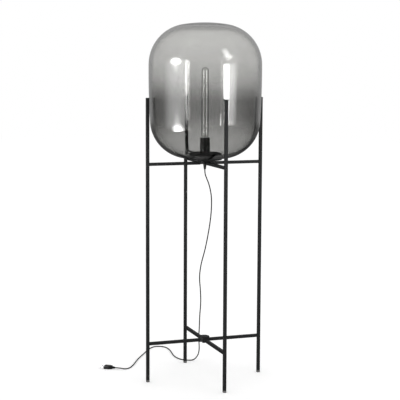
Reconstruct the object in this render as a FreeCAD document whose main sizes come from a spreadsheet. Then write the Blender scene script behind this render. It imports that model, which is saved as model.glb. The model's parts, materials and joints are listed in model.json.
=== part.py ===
import FreeCAD, Part
import Sketcher
import math
import os
from types import SimpleNamespace

# Globe floor lamp. Millimetres, +Z up. The origin is on the floor, under the lamp's axis.
# Four square-tube legs stand on the X and Y axes, joined by an upper and a lower cross of arms.
# A large blown-glass shade rests on a plate above the upper cross, round a tubular bulb.

Vector = FreeCAD.Vector
UP = Vector(0, 0, 1)

# Each size is written once here and goes to the sheet; the model reads it from there.
SIZE_TABLE = [
    # frame
    ("leg_gap", 8, "glass at its widest to a leg"),
    ("tube_side", 12, "outside of the square tube"),
    ("tube_wall", 1.2, "wall of the square tube"),
    ("tube_corner", 1, "corner radius of the square tube"),
    ("leg_top", 1110, "floor to a leg tube's upper end"),
    ("cap_plate", 2, "thickness of a leg's top cap"),
    ("cap_insert", 12, "part of a cap inside its tube"),
    ("foot_height", 8, "part of a foot that shows"),
    ("foot_insert", 20, "part of a foot inside its tube"),
    ("insert_clearance", 0.1, "gap between an insert and its tube, per side"),
    ("upper_arm_level", 857.2, "floor to the upper arms' centreline"),
    ("lower_arm_level", 152.6, "floor to the lower arms' centreline"),
    # hubs
    ("hub_diameter", 43, "both hubs"),
    ("hub_edge", 2.5, "rounding of a hub's upper edge"),
    ("hub_flat", 20.6, "axis to the flat that an arm meets"),
    ("upper_hub_height", 14.5, "upper hub"),
    ("upper_hub_drop", 2, "upper arms' centreline to the upper hub's underside"),
    ("lower_hub_height", 20.7, "lower hub"),
    ("lower_hub_drop", 6, "lower arms' centreline to the lower hub's underside"),
    ("tongue_height", 4, "thickness of the tongue on an arm's end"),
    ("tongue_start", 6.8, "axis to the tip of a tongue"),
    ("arm_plug", 14, "solid end of an arm behind its tongue"),
    ("slot_clearance", 0.05, "gap round a tongue in its slot"),
    ("overrun", 1, "how far a cut or a joint runs past a face"),
    ("screw_circle", 14, "axis to a tongue screw"),
    ("screw_diameter", 5, "tongue screw's shank"),
    ("screw_length", 10, "tongue screw under its head"),
    ("screw_head", 8.5, "tongue screw's head across"),
    ("screw_head_height", 2.6, "tongue screw's head"),
    ("thread_gap", 0.05, "radial gap between a thread and its hole"),
    ("bolt_diameter", 8, "bolt under the lower hub"),
    ("bolt_length", 14, "bolt under its head, washer included"),
    ("bolt_across", 13, "bolt head across flats"),
    ("bolt_head_height", 5.3, "bolt head"),
    ("washer_diameter", 17, "washer under the lower hub"),
    ("washer_thickness", 1.6, "washer under the lower hub"),
    # plate, disc and the threaded tube that ties them to the upper hub
    ("plate_diameter", 133, "plate under the glass"),
    ("plate_thickness", 4.5, "plate under the glass"),
    ("plate_edge", 1, "rounding of the plate's edges"),
    ("seat_thickness", 1, "soft ring that the glass rests on"),
    ("seat_width", 5, "soft ring, outside to inside radius"),
    ("spacer_diameter", 24, "sleeve between plate and disc"),
    ("spacer_length", 12.3, "sleeve between plate and disc"),
    ("disc_diameter", 120, "disc inside the glass opening"),
    ("disc_thickness", 4.2, "disc inside the glass opening"),
    ("nipple_diameter", 10, "threaded tube"),
    ("nipple_bore", 7, "threaded tube's bore"),
    ("nut_across", 17, "nut inside the lampholder, across flats"),
    ("nut_height", 3, "nut inside the lampholder"),
    # glass shade
    ("shade_diameter", 439, "glass at its widest"),
    ("shade_height", 524.8, "glass, rim to top"),
    ("shade_wall", 10, "glass thickness"),
    ("shade_widest", 327.8, "glass rim to its widest level"),
    ("shade_opening", 126, "hole in the glass's bottom"),
    ("shade_rim", 3, "ground flat round the hole"),
    ("shade_side_radius", 3400, "arc of the side"),
    ("shade_top_core", 62.5, "radius of the glass less its upper shoulder's arc"),
    ("shade_top_radius", 530, "arc of the top"),
    ("shade_bottom_core", 69.5, "radius of the glass less its lower shoulder's arc"),
    ("shade_bottom_radius", 1000, "arc of the bottom"),
    # lampholder, for an E27 cap
    ("holder_diameter", 38.6, "lampholder sleeve"),
    ("holder_height", 64.3, "lampholder sleeve"),
    ("holder_wall", 2, "lampholder sleeve"),
    ("base_height", 12, "insulating base in the lampholder"),
    ("insert_wall", 2.4, "ceramic ring round the screw shell"),
    ("fit_gap", 0.2, "gap between pieces inside the lampholder"),
    ("shell_wall", 0.4, "brass screw shell"),
    ("cap_depth", 27, "bulb's lower end below the lampholder's mouth"),
    ("terminal_offset", 10.5, "axis to a terminal screw"),
    ("shell_opening", 13, "hole in the screw shell's bottom"),
    ("wire_spread", 2.6, "between the two inner wires"),
    ("wire_channel", 3, "channels for the wires in the base"),
    ("tube_reach", 7, "threaded tube inside the lampholder's base"),
    ("terminal_head", 5, "terminal screw's head across"),
    ("terminal_height", 4, "terminal screw's head"),
    ("well_depth", 6, "wells for the terminal screws in the base"),
    ("channel_depth", 4, "wire channel in the base"),
    ("wire_lift", 2.4, "inner wires' axis below the top of the base"),
    ("insert_recess", 1, "ceramic ring's top below the lampholder's mouth"),
    ("wire_diameter", 1.8, "inner wire"),
    # bulb
    ("bulb_length", 300, "whole bulb"),
    ("bulb_diameter", 28, "glass tube of the bulb"),
    ("bulb_glass", 0.9, "glass tube's wall"),
    ("thread_start", 4.5, "bulb's lower end to the cap's first thread"),
    ("thread_turns", 5, "ridges of the cap's thread"),
    ("cap_lip", 1, "cap above the lampholder's mouth"),
    ("cement_gap", 0.3, "cement between cap, insulator and glass"),
    ("insulator_face", 9.8, "insulator's lower face across"),
    ("insulator_top", 6.75, "bulb's lower end to the insulator's top"),
    ("tip_diameter", 5.95, "bulb contact's flat tip"),
    ("tip_rim", 8.75, "bulb contact's rim"),
    ("tip_pin", 7, "bulb contact's pin in the insulator"),
    ("tip_height", 1, "bulb contact below the insulator"),
    ("tip_depth", 2.5, "bulb contact, tip to the pin's top"),
    ("contact_diameter", 6, "centre contact's post"),
    ("contact_foot", 12, "centre contact's foot"),
    ("contact_foot_height", 0.8, "centre contact's foot"),
    ("stem_diameter", 6, "glass stem in the bulb"),
    ("rod_diameter", 2.4, "glass rod on the stem"),
    ("bulb_neck", 23.4, "neck of the glass tube, inside the cap"),
    ("neck_depth", 10, "neck below the cap's edge"),
    ("collar_rise", 1.5, "straight neck above the cap's edge"),
    ("shoulder_rise", 10, "full width of the tube above the cap's edge"),
    ("flare_height", 1, "rim of the stem's flare"),
    ("flare_waist", 7.8, "stem's flare across, half way up"),
    ("flare_waist_rise", 6, "neck's end to the flare's waist"),
    ("flare_rise", 10, "neck's end to the straight stem"),
    ("press_drop", 14, "filament's feet to the end of the straight stem"),
    ("press_taper", 4, "stem's taper to the rod"),
    ("thread_pitch", 3.63, "cap thread"),
    ("thread_crest", 26.2, "cap thread, outside"),
    ("thread_root", 24.8, "cap thread, root"),
    ("thread_clearance", 0.3, "radial gap between cap and screw shell"),
    ("cap_wall", 0.4, "cap's sheet metal"),
    ("filament_spread", 7, "between the two filament legs"),
    ("filament_top", 272, "bulb's lower end to the filament's bend"),
    ("filament_start", 66, "bulb's lower end to the filament's feet"),
    ("filament_diameter", 0.6, "filament"),
    ("lead_diameter", 0.9, "support wires in the bulb"),
    # cord and plug
    ("cord_diameter", 4.6, "mains cord"),
    ("relief_length", 23.2, "strain relief under the hub"),
    ("relief_top", 14, "strain relief across, at the hub"),
    ("relief_tip", 8.6, "strain relief across, at the cord"),
    ("relief_lip", 1.5, "rounding of the strain relief's tip"),
    ("relief_flange", 2, "strain relief's straight flange"),
    ("sheath_end_gap", 3.5, "end of the cord's sheath to the threaded tube"),
    ("relief_stud", 6, "strain relief's thread in the hub"),
    ("plug_length", 35, "plug body"),
    ("plug_width", 26, "plug body at the pins"),
    ("plug_neck", 13, "plug body at the cord"),
    ("plug_thickness", 13.6, "plug body"),
    ("plug_edge", 3, "rounding of the plug body"),
    ("plug_sleeve", 12, "plug's flexible sleeve"),
    ("plug_taper", 12.25, "plug body from its neck to its full width"),
    ("sleeve_end", 10.4, "plug's sleeve across, at the body"),
    ("sleeve_tip", 5.5, "plug's sleeve across, at the cord"),
    ("sleeve_lip", 1, "rounding of the sleeve's tip"),
    ("pin_diameter", 4, "plug pin"),
    ("pin_length", 19, "plug pin outside the body"),
    ("pin_spacing", 19, "between the plug pins"),
]

doc = FreeCAD.newDocument("GlobeFloorLamp")
sheet = doc.addObject("Spreadsheet::Sheet", "Sizes")
for row, (name, value, note) in enumerate(SIZE_TABLE, start=1):
    sheet.set(f"A{row}", name)
    sheet.set(f"B{row}", str(value))
    sheet.setAlias(f"B{row}", name)
    sheet.set(f"C{row}", note)
doc.recompute()


class Size:
    """A length: its number, and the expression that gives it from the sheet."""

    def __init__(self, value, text):
        self.value = value
        self.text = text

    def joined(self, other, sign, value):
        return Size(value, f"({self.text} {sign} {as_size(other).text})")

    def __add__(self, other):
        return self.joined(other, "+", self.value + as_size(other).value)

    def __sub__(self, other):
        return self.joined(other, "-", self.value - as_size(other).value)

    def __mul__(self, other):
        return self.joined(other, "*", self.value * as_size(other).value)

    def __truediv__(self, other):
        return self.joined(other, "/", self.value / as_size(other).value)

    def __neg__(self):
        return as_size(0) - self


def as_size(amount):
    return amount if isinstance(amount, Size) else Size(float(amount), repr(float(amount)))


d = SimpleNamespace(**{name: Size(float(sheet.get(name)), f"Sizes.{name}") for name, _, _ in SIZE_TABLE})

# Levels above the floor, from the sizes
arm_half = d.tube_side / 2
leg_radius = d.shade_diameter / 2 + d.leg_gap + arm_half
upper_hub_bottom = d.upper_arm_level - d.upper_hub_drop
upper_hub_top = upper_hub_bottom + d.upper_hub_height
lower_hub_bottom = d.lower_arm_level - d.lower_hub_drop
plate_top = upper_hub_top + d.plate_thickness
shade_bottom = plate_top + d.seat_thickness
disc_bottom = plate_top + d.spacer_length
holder_bottom = disc_bottom + d.disc_thickness
nut_bottom = holder_bottom + d.holder_wall
base_bottom = nut_bottom + d.nut_height + d.fit_gap
insert_bottom = base_bottom + d.base_height
holder_top = holder_bottom + d.holder_height
bulb_bottom = holder_top - d.cap_depth
nipple_bottom = upper_hub_bottom + d.relief_stud + d.fit_gap
sheath_end = nipple_bottom - d.sheath_end_gap
cord_exit = upper_hub_bottom - d.relief_length

LEG_ANGLES = {"left": 180, "front": 270, "right": 0, "back": 90}
parts = {}


# ---------------------------------------------------------------- building blocks

def bind(thing, name, amount):
    """Ties one property of an object to its size."""
    thing.setExpression(name, as_size(amount).text)


def place(piece, level=0, x=0, y=0, angle=0):
    """Puts a finished piece at its level and place, turned about the vertical."""
    piece.Placement = FreeCAD.Placement(Vector(0, 0, 0), FreeCAD.Rotation(UP, angle))
    for axis, amount in (("x", x), ("y", y), ("z", level)):
        bind(piece, f"Placement.Base.{axis}", amount)


def new_body(label):
    body = doc.addObject("PartDesign::Body", label)
    body.Label = label
    parts[label] = body
    return body


def origin_feature(body, role):
    return next(f for f in body.Origin.OriginFeatures if f.Role == role)


def new_sketch(body, name, role, offset=0):
    """A sketch on one of the body's own origin planes, moved along its normal."""
    sketch = body.newObject("Sketcher::SketchObject", name)
    sketch.AttachmentSupport = [(origin_feature(body, role), "")]
    sketch.MapMode = "FlatFace"
    bind(sketch, "AttachmentOffset.Base.z", offset)
    return sketch


def constrain(sketch, kind, places, amount=None):
    """Adds a constraint; a size, if given, is tied to its expression."""
    if amount is None:
        return sketch.addConstraint(Sketcher.Constraint(kind, *places))
    size = as_size(amount)
    number = sketch.addConstraint(Sketcher.Constraint(kind, *places, size.value))
    sketch.setExpression(f"Constraints[{number}]", size.text)
    return number


def pin_point(sketch, geometry, end, x, y):
    """Holds one point of the sketch at x, y."""
    for kind, amount, axis in (("DistanceX", as_size(x), -2), ("DistanceY", as_size(y), -1)):
        if abs(amount.value) < 1e-9:
            constrain(sketch, "PointOnObject", (geometry, end, axis))
        else:
            constrain(sketch, kind, (-1, 1, geometry, end), amount)


def circle(sketch, diameter, x=0, y=0):
    x, y = as_size(x), as_size(y)
    radius = as_size(diameter) / 2
    number = sketch.addGeometry(Part.Circle(Vector(x.value, y.value, 0), UP, radius.value), False)
    pin_point(sketch, number, 3, x, y)
    constrain(sketch, "Radius", (number,), radius)


def arc_between(start, end, radius):
    """The shorter arc from start to end. It bulges to the right of the way there, or,
    if the radius is negative, to the left."""
    chord = end - start
    right = Vector(chord.y, -chord.x, 0).normalize()
    depth = abs(radius) - math.sqrt(radius ** 2 - chord.Length ** 2 / 4)
    return Part.Arc(start, (start + end) / 2 + right * math.copysign(depth, radius), end)


def outline(sketch, corners):
    """A closed outline. A corner is (x, y), or (x, y, radius) where an arc leaves it."""
    corners = [tuple(as_size(amount) for amount in corner) for corner in corners]
    points = [Vector(c[0].value, c[1].value, 0) for c in corners]
    numbers = []
    for i, corner in enumerate(corners):
        start, end = points[i], points[(i + 1) % len(points)]
        if len(corner) == 3:
            piece = arc_between(start, end, corner[2].value)
        else:
            piece = Part.LineSegment(start, end)
        numbers.append(sketch.addGeometry(piece, False))
    ends = []
    for number, corner in zip(numbers, corners):
        clockwise = len(corner) == 3 and corner[2].value < 0
        ends.append((2, 1) if clockwise else (1, 2))
    for i, corner in enumerate(corners):
        before = i - 1
        constrain(sketch, "Coincident", (numbers[before], ends[before][1], numbers[i], ends[i][0]))
        pin_point(sketch, numbers[i], ends[i][0], corner[0], corner[1])
        if len(corner) == 3:
            size = corner[2] if corner[2].value > 0 else -corner[2]
            constrain(sketch, "Radius", (numbers[i],), size)


def square(sketch, side, corner=0):
    """A square round the sketch's origin, with rounded corners if a radius is given."""
    half, flat = as_size(side) / 2, as_size(side) / 2 - corner
    if as_size(corner).value == 0:
        outline(sketch, [(-half, -half), (half, -half), (half, half), (-half, half)])
        return
    radius = as_size(corner)
    outline(sketch, [
        (-flat, -half), (flat, -half, radius), (half, -flat), (half, flat, radius),
        (flat, half), (-flat, half, radius), (-half, flat), (-half, -flat, radius),
    ])


def hexagon(sketch, across):
    """A regular hexagon round the sketch's origin."""
    radius = as_size(across) / math.sqrt(3)
    corners = [(radius * math.cos(math.radians(60 * i)), radius * math.sin(math.radians(60 * i)))
               for i in range(6)]
    outline(sketch, corners)


def pad(body, sketch, length, name="Pad"):
    feature = body.newObject("PartDesign::Pad", name)
    feature.Profile = sketch
    bind(feature, "Length", length)
    sketch.Visibility = False
    return feature


def pocket(body, sketch, length, name="Pocket", upward=True):
    """Cuts the sketch into the body, along the sketch's normal if upward."""
    feature = body.newObject("PartDesign::Pocket", name)
    feature.Profile = sketch
    feature.Reversed = upward
    bind(feature, "Length", length)
    sketch.Visibility = False
    return feature


def revolve(body, sketch, name="Revolution"):
    """Turns the sketch once about its vertical axis."""
    feature = body.newObject("PartDesign::Revolution", name)
    feature.Profile = sketch
    feature.ReferenceAxis = (sketch, ["V_Axis"])
    feature.Angle = 360
    sketch.Visibility = False
    return feature


def pattern_round(body, originals, count, name="PolarPattern"):
    """Repeats features about the body's vertical axis."""
    feature = body.newObject("PartDesign::PolarPattern", name)
    feature.Originals = originals
    feature.Axis = (origin_feature(body, "Z_Axis"), [""])
    feature.Angle = 360
    feature.Occurrences = count
    body.Tip = feature
    return feature


def turned(label, corners, level):
    """A piece turned on a lathe: its half section, as (radius, height) corners."""
    body = new_body(label)
    section = new_sketch(body, label + "_section", "XZ_Plane")
    outline(section, corners)
    revolve(body, section)
    place(body, level)
    return body


def tube(label, outside, inside, height, level):
    """A plain ring or sleeve on the lamp's axis."""
    body = new_body(label)
    section = new_sketch(body, label + "_section", "XY_Plane")
    circle(section, outside)
    circle(section, inside)
    pad(body, section, height)
    place(body, level)
    return body


# ---------------------------------------------------------------- frame

def leg_place(name):
    angle = math.radians(LEG_ANGLES[name])
    return leg_radius * round(math.cos(angle)), leg_radius * round(math.sin(angle))


def leg_tube(name):
    body = new_body(f"leg_tube_{name}")
    section = new_sketch(body, f"leg_section_{name}", "XY_Plane")
    square(section, d.tube_side, d.tube_corner)
    square(section, d.tube_side - d.tube_wall * 2)
    pad(body, section, d.leg_top - d.foot_height)
    x, y = leg_place(name)
    place(body, d.foot_height, x, y)


def tube_end(label, name, plate, insert, level, upwards):
    """A square plate as wide as the tube, with an insert that goes into it."""
    body = new_body(label)
    outside = new_sketch(body, label + "_plate", "XY_Plane")
    square(outside, d.tube_side, d.tube_corner)
    pad(body, outside, plate, "Plate")
    start = as_size(0) - insert if upwards else plate
    inside = new_sketch(body, label + "_insert", "XY_Plane", start)
    square(inside, d.tube_side - d.tube_wall * 2 - d.insert_clearance * 2)
    pad(body, inside, insert, "Insert")
    x, y = leg_place(name)
    place(body, level, x, y)


def arm(label, name, level, tongue_bottom):
    """A square tube from the hub to a leg. Its inner end is solid and has a screwed tongue."""
    body = new_body(label)
    outer_end = leg_radius - arm_half
    section = new_sketch(body, label + "_section", "YZ_Plane", d.hub_flat)
    square(section, d.tube_side, d.tube_corner)
    pad(body, section, outer_end - d.hub_flat, "Tube")
    bore = new_sketch(body, label + "_bore", "YZ_Plane", d.hub_flat + d.arm_plug)
    square(bore, d.tube_side - d.tube_wall * 2)
    pocket(body, bore, outer_end - d.hub_flat - d.arm_plug, "Bore")
    tongue = new_sketch(body, label + "_tongue", "XY_Plane", tongue_bottom)
    outline(tongue, [
        (d.tongue_start, -arm_half), (d.hub_flat + d.overrun, -arm_half),
        (d.hub_flat + d.overrun, arm_half), (d.tongue_start, arm_half),
    ])
    pad(body, tongue, d.tongue_height, "Tongue")
    hole = new_sketch(body, label + "_hole", "XY_Plane", tongue_bottom)
    circle(hole, d.screw_diameter + d.thread_gap * 2, d.screw_circle)
    pocket(body, hole, d.tongue_height, "ScrewHole")
    place(body, level, angle=LEG_ANGLES[name])


def hub(label, height, drop, level, centre_hole):
    """A turned boss with four slots from below for the arms' tongues, and their screw holes."""
    body = new_body(label)
    radius = d.hub_diameter / 2
    section = new_sketch(body, label + "_section", "XZ_Plane")
    bore = centre_hole / 2 + d.thread_gap
    outline(section, [
        (bore, 0), (radius, 0), (radius, height - d.hub_edge, d.hub_edge),
        (radius - d.hub_edge, height), (bore, height),
    ])
    revolve(body, section)
    gap = d.slot_clearance
    slot = new_sketch(body, label + "_slot", "XY_Plane")
    outline(slot, [
        (d.tongue_start - gap, -arm_half - gap), (radius + d.overrun, -arm_half - gap),
        (radius + d.overrun, arm_half + gap), (d.tongue_start - gap, arm_half + gap),
    ])
    slot_cut = pocket(body, slot, d.tongue_height, "Slot")
    flat = new_sketch(body, label + "_flat", "XY_Plane")
    outline(flat, [
        (d.hub_flat, -arm_half - gap), (radius + d.overrun, -arm_half - gap),
        (radius + d.overrun, arm_half + gap), (d.hub_flat, arm_half + gap),
    ])
    flat_cut = pocket(body, flat, drop + arm_half + gap, "Flat")
    hole = new_sketch(body, label + "_hole", "XY_Plane")
    circle(hole, d.screw_diameter + d.thread_gap * 2, d.screw_circle)
    hole_cut = pocket(body, hole, d.screw_length + d.overrun, "ScrewHole")
    pattern_round(body, [slot_cut, flat_cut, hole_cut], len(LEG_ANGLES))
    place(body, level)


def hub_screws(label, level):
    """Four screws that hold the tongues up in their slots."""
    body = new_body(label)
    head = new_sketch(body, label + "_heads", "XY_Plane", -d.screw_head_height)
    circle(head, d.screw_head, d.screw_circle)
    heads = pad(body, head, d.screw_head_height, "Head")
    shank = new_sketch(body, label + "_shanks", "XY_Plane")
    circle(shank, d.screw_diameter, d.screw_circle)
    shanks = pad(body, shank, d.screw_length, "Shank")
    pattern_round(body, [heads, shanks], len(LEG_ANGLES))
    place(body, level)


def hub_bolt():
    """Hexagon bolt that holds the washer against the tips of the lower tongues."""
    body = new_body("lower_hub_bolt")
    head = new_sketch(body, "bolt_head", "XY_Plane")
    hexagon(head, d.bolt_across)
    pad(body, head, d.bolt_head_height, "Head")
    shank = new_sketch(body, "bolt_shank", "XY_Plane", d.bolt_head_height)
    circle(shank, d.bolt_diameter)
    pad(body, shank, d.bolt_length, "Shank")
    place(body, lower_hub_bottom - d.washer_thickness - d.bolt_head_height)


def frame():
    for name in LEG_ANGLES:
        leg_tube(name)
        tube_end(f"leg_cap_{name}", name, d.cap_plate, d.cap_insert, d.leg_top, upwards=True)
        tube_end(f"foot_{name}", name, d.foot_height, d.foot_insert, as_size(0), upwards=False)
        arm(f"upper_arm_{name}", name, d.upper_arm_level, -d.upper_hub_drop)
        arm(f"lower_arm_{name}", name, d.lower_arm_level, -d.lower_hub_drop)
    hub("upper_hub", d.upper_hub_height, d.upper_hub_drop, upper_hub_bottom, d.nipple_diameter)
    hub("lower_hub", d.lower_hub_height, d.lower_hub_drop, lower_hub_bottom, d.bolt_diameter)
    hub_screws("upper_hub_screws", upper_hub_bottom)
    hub_screws("lower_hub_screws", lower_hub_bottom)
    hub_bolt()
    tube("lower_hub_washer", d.washer_diameter, d.bolt_diameter + d.thread_gap * 2,
         d.washer_thickness, lower_hub_bottom - d.washer_thickness)


# ---------------------------------------------------------------- plate, disc and threaded tube

def centre_stack():
    hole = d.nipple_diameter + d.thread_gap * 2
    edge = d.plate_edge
    radius = d.plate_diameter / 2
    turned("shade_plate", [
        (hole / 2, 0), (radius - edge, 0, edge), (radius, edge),
        (radius, d.plate_thickness - edge, edge), (radius - edge, d.plate_thickness),
        (hole / 2, d.plate_thickness),
    ], upper_hub_top)
    ring_outside = d.shade_opening + d.shade_rim * 2
    tube("shade_seat_ring", ring_outside, ring_outside - d.seat_width * 2, d.seat_thickness, plate_top)
    tube("spacer_sleeve", d.spacer_diameter, hole, d.spacer_length, plate_top)
    tube("holder_disc", d.disc_diameter, hole, d.disc_thickness, disc_bottom)
    length = base_bottom + d.tube_reach - nipple_bottom
    tube("threaded_tube", d.nipple_diameter, d.nipple_bore, length, nipple_bottom)
    nut = new_body("holder_nut")
    section = new_sketch(nut, "nut_section", "XY_Plane")
    hexagon(section, d.nut_across)
    circle(section, hole)
    pad(nut, section, d.nut_height)
    place(nut, nut_bottom)


# ---------------------------------------------------------------- glass shade

def shoulder_centre(end_centre, end_radius, side_centre, side_radius, radius):
    """Where the centre of a shoulder lies that touches both an end arc and the side arc."""
    first, second = end_radius - radius, side_radius - radius
    between = side_centre - end_centre
    along = (first ** 2 - second ** 2 + between.Length ** 2) / (2 * between.Length)
    across = math.sqrt(first ** 2 - along ** 2)
    line = Vector(between).normalize()
    foot, turn = end_centre + line * along, Vector(-line.y, line.x, 0) * across
    return max(foot + turn, foot - turn, key=lambda point: point.x)


def meeting_point(first, second):
    """Where two arcs, each (centre, radius), run into each other."""
    small, large = sorted((first, second), key=lambda arc: arc[1])
    return small[0] + (small[0] - large[0]).normalize() * small[1]


def arc_through(arc, start, end):
    """The anticlockwise arc of a (centre, radius) between two of its points."""
    centre, radius = arc
    first = math.atan2(start.y - centre.y, start.x - centre.x)
    last = math.atan2(end.y - centre.y, end.x - centre.x)
    return Part.ArcOfCircle(Part.Circle(centre, UP, radius), first, last)


def shade():
    """Blown glass of even thickness: bottom, shoulder, side, shoulder and top, all tangent."""
    body = new_body("glass_shade")
    sketch = new_sketch(body, "shade_section", "XZ_Plane")
    hole = d.shade_opening / 2
    rim = hole + d.shade_rim
    upper_shoulder = d.shade_diameter / 2 - d.shade_top_core
    lower_shoulder = d.shade_diameter / 2 - d.shade_bottom_core
    radii = [d.shade_bottom_radius, lower_shoulder, d.shade_side_radius, upper_shoulder, d.shade_top_radius]
    plain = [radius.value for radius in radii]
    bottom = Vector(0, math.sqrt(plain[0] ** 2 - rim.value ** 2), 0)
    side = Vector(d.shade_diameter.value / 2 - plain[2], d.shade_widest.value, 0)
    top = Vector(0, d.shade_height.value - plain[4], 0)
    centres = [bottom, shoulder_centre(bottom, plain[0], side, plain[2], plain[1]), side,
               shoulder_centre(top, plain[4], side, plain[2], plain[3]), top]
    inner_rise = bottom.y - math.sqrt((plain[0] - d.shade_wall.value) ** 2 - hole.value ** 2)
    starts = Vector(rim.value, 0, 0), Vector(hole.value, inner_rise, 0)
    rows = []
    for inset, start in zip((as_size(0), d.shade_wall), starts):
        arcs = [(centre, radius - inset.value) for centre, radius in zip(centres, plain)]
        joints = [start] + [meeting_point(*pair) for pair in zip(arcs, arcs[1:])]
        joints.append(Vector(0, d.shade_height.value - inset.value, 0))
        numbers = [sketch.addGeometry(arc_through(*piece), False) for piece in zip(arcs, joints, joints[1:])]
        rows.append(numbers)
        for number, following in zip(numbers, numbers[1:]):
            constrain(sketch, "Tangent", (number, 2, following, 1))
    outer, inner = rows
    corner = Vector(hole.value, 0, 0)
    crown_ends = Vector(0, d.shade_height.value, 0), Vector(0, (d.shade_height - d.shade_wall).value, 0)
    crown = sketch.addGeometry(Part.LineSegment(*crown_ends), False)
    mouth = sketch.addGeometry(Part.LineSegment(starts[1], corner), False)
    ground = sketch.addGeometry(Part.LineSegment(corner, starts[0]), False)
    for joined in ((outer[-1], 2, crown, 1), (crown, 2, inner[-1], 2), (inner[0], 1, mouth, 1),
                   (mouth, 2, ground, 1), (ground, 2, outer[0], 1)):
        constrain(sketch, "Coincident", joined)
    pin_point(sketch, ground, 1, hole, 0)
    pin_point(sketch, ground, 2, rim, 0)
    pin_point(sketch, crown, 1, 0, d.shade_height)
    constrain(sketch, "Vertical", (mouth,))
    constrain(sketch, "Vertical", (crown,))
    for end_arc in (outer[0], outer[-1]):
        constrain(sketch, "PointOnObject", (end_arc, 3, -2))
    for number, twin, radius in zip(outer, inner, radii):
        constrain(sketch, "Radius", (number,), radius)
        constrain(sketch, "Coincident", (number, 3, twin, 3))
    constrain(sketch, "DistanceX", (-1, 1, outer[2], 3), d.shade_diameter / 2 - d.shade_side_radius)
    constrain(sketch, "DistanceY", (-1, 1, outer[2], 3), d.shade_widest)
    constrain(sketch, "DistanceY", (inner[-1], 2, outer[-1], 2), d.shade_wall)
    print("shade section solved:", sketch.solve() == 0)
    revolve(body, sketch)
    place(body, shade_bottom)


# ---------------------------------------------------------------- lampholder

def thread_wave(start, root, crest):
    """The section of a rolled thread, upwards from a level: root and crest by turns."""
    corners, turns = [], round(d.thread_turns.value)
    for turn in range(turns):
        level = start + d.thread_pitch * turn
        corners += [(root, level), (crest, level + d.thread_pitch / 2)]
    return corners + [(root, start + d.thread_pitch * turns)]


def lampholder():
    hole = (d.nipple_diameter + d.thread_gap * 2) / 2
    inside = d.holder_diameter / 2 - d.holder_wall
    turned("holder_sleeve", [
        (hole, 0), (d.holder_diameter / 2, 0), (d.holder_diameter / 2, d.holder_height),
        (inside, d.holder_height), (inside, d.holder_wall), (hole, d.holder_wall),
    ], holder_bottom)
    base = new_body("holder_base")
    section = new_sketch(base, "base_section", "XY_Plane")
    circle(section, (inside - d.fit_gap) * 2)
    circle(section, d.nipple_diameter + d.thread_gap * 2)
    pad(base, section, d.base_height)
    wells = new_sketch(base, "terminal_wells", "XY_Plane", d.base_height)
    for side in (-1, 1):
        circle(wells, d.terminal_head + d.fit_gap * 2, d.terminal_offset * side)
    pocket(base, wells, d.well_depth, "TerminalWells", upward=False)
    channel = new_sketch(base, "wire_channel", "XY_Plane", d.base_height)
    half = d.wire_channel / 2
    outline(channel, [(-d.terminal_offset, -half), (d.terminal_offset, -half),
                      (d.terminal_offset, half), (-d.terminal_offset, half)])
    pocket(base, channel, d.channel_depth, "WireChannel", upward=False)
    place(base, base_bottom)
    screws = new_body("terminal_screws")
    heads = new_sketch(screws, "terminal_heads", "XY_Plane")
    for side in (-1, 1):
        circle(heads, d.terminal_head, d.terminal_offset * side)
    pad(screws, heads, d.terminal_height, "Heads")
    place(screws, insert_bottom - d.well_depth)
    insert_outside = (inside - d.fit_gap) * 2
    insert_height = holder_top - insert_bottom - d.insert_recess
    tube("ceramic_insert", insert_outside, insert_outside - d.insert_wall * 2, insert_height, insert_bottom)
    spring = new_body("centre_contact")
    foot = new_sketch(spring, "contact_foot", "XY_Plane")
    circle(foot, d.contact_foot)
    pad(spring, foot, d.contact_foot_height, "Foot")
    post = new_sketch(spring, "contact_post", "XY_Plane")
    circle(post, d.contact_diameter)
    pad(spring, post, bulb_bottom - insert_bottom, "Post")
    place(spring, insert_bottom)


def screw_shell():
    """Brass shell with the thread rolled in, one wall thick, on a flat bottom ring."""
    wall, opening = d.shell_wall, d.shell_opening / 2
    root = d.thread_root / 2 + d.thread_clearance
    wave = thread_wave(bulb_bottom - insert_bottom + d.thread_start, root,
                       d.thread_crest / 2 + d.thread_clearance)
    outer = [(radius + wall, level) for radius, level in wave]
    turned("screw_shell", [(opening, 0), (root + wall, 0)] + outer + wave[::-1]
           + [(root, wall), (opening, wall)], insert_bottom)


# ---------------------------------------------------------------- bulb

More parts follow.
